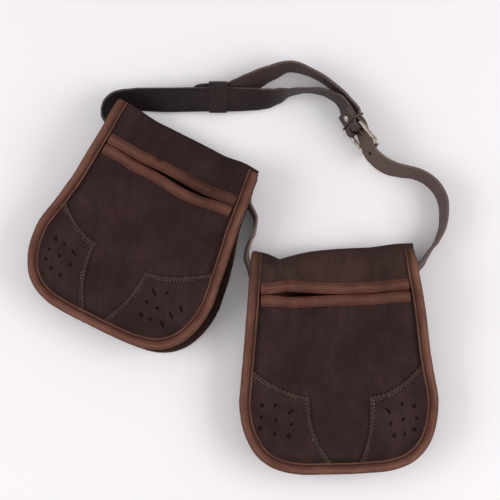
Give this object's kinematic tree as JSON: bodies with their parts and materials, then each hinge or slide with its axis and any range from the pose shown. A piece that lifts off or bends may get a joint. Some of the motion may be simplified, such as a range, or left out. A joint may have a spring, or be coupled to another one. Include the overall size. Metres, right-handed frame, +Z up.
{
  "type": "hunting bag",
  "caption": "Leather hunting bag: flat slit-mouthed pouches with bound edges and punched corner patches, carried on a buckled belt and lying on their backs.",
  "frame": {"origin": "on the floor, under the middle of the bounding box", "axes": "+X across the table to the right, +Y away from the viewer, +Z up from the floor"},
  "size_m": [0.454, 0.4482, 0.0503],
  "materials": {
    "front_leather": "dark brown oiled nubuck, matt",
    "strip_leather": "reddish brown smooth leather, satin",
    "patch_leather": "dark brown smooth leather, matt",
    "belt_leather": "dark brown bridle leather, satin",
    "nickel": "worn nickel plate"
  },
  "bodies": {
    "root": {"left_back_yoke": "front_leather", "left_front_panel": "front_leather", "left_gusset": "front_leather", "left_front_binding": "strip_leather", "left_back_binding": "strip_leather", "left_mouth_band_lower": "strip_leather", "left_mouth_band_upper": "strip_leather", "left_patch_left": "patch_leather", "left_patch_right": "patch_leather", "left_belt_tunnel": "belt_leather", "right_back_yoke": "front_leather", "right_front_panel": "front_leather", "right_gusset": "front_leather", "right_front_binding": "strip_leather", "right_back_binding": "strip_leather", "right_mouth_band_lower": "strip_leather", "right_mouth_band_upper": "strip_leather", "right_patch_left": "patch_leather", "right_patch_right": "patch_leather", "right_belt_tunnel": "belt_leather", "belt": "belt_leather", "keeper": "belt_leather", "buckle_frame": "nickel", "buckle_prong": "nickel", "wire_loop": "nickel", "rivet": "nickel"}
  },
  "joints": []
}
